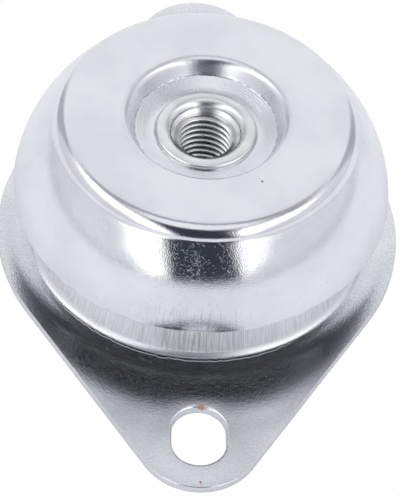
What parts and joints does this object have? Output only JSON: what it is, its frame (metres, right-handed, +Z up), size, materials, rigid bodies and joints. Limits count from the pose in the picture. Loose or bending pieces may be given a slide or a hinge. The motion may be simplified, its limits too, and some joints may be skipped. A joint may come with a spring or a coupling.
{
  "type": "bell-shaped anti-vibration mount",
  "caption": "Bell-shaped rubber anti-vibration mount with a threaded bush in its dished top and a rhombic two-slot steel base.",
  "frame": {"origin": "centre of the underside, on the mounting surface", "axes": "+Z up along the threaded bush, +Y along the two slotted ears, +X across the base"},
  "size_m": [0.108, 0.1716, 0.047],
  "materials": {
    "bell_zinc": "bright zinc plating, lightly scratched",
    "bush_zinc": "turned steel, zinc plated",
    "rubber": "moulded natural rubber, matt black",
    "washer_zinc": "zinc plated",
    "base_zinc": "bright zinc plating, speckled near the collar, spots of rust at the slot"
  },
  "bodies": {
    "root": {"bell_cover": "bell_zinc", "threaded_bush": "bush_zinc", "rubber_element": "rubber", "rebound_washer": "washer_zinc", "base_flange": "base_zinc"}
  },
  "joints": []
}
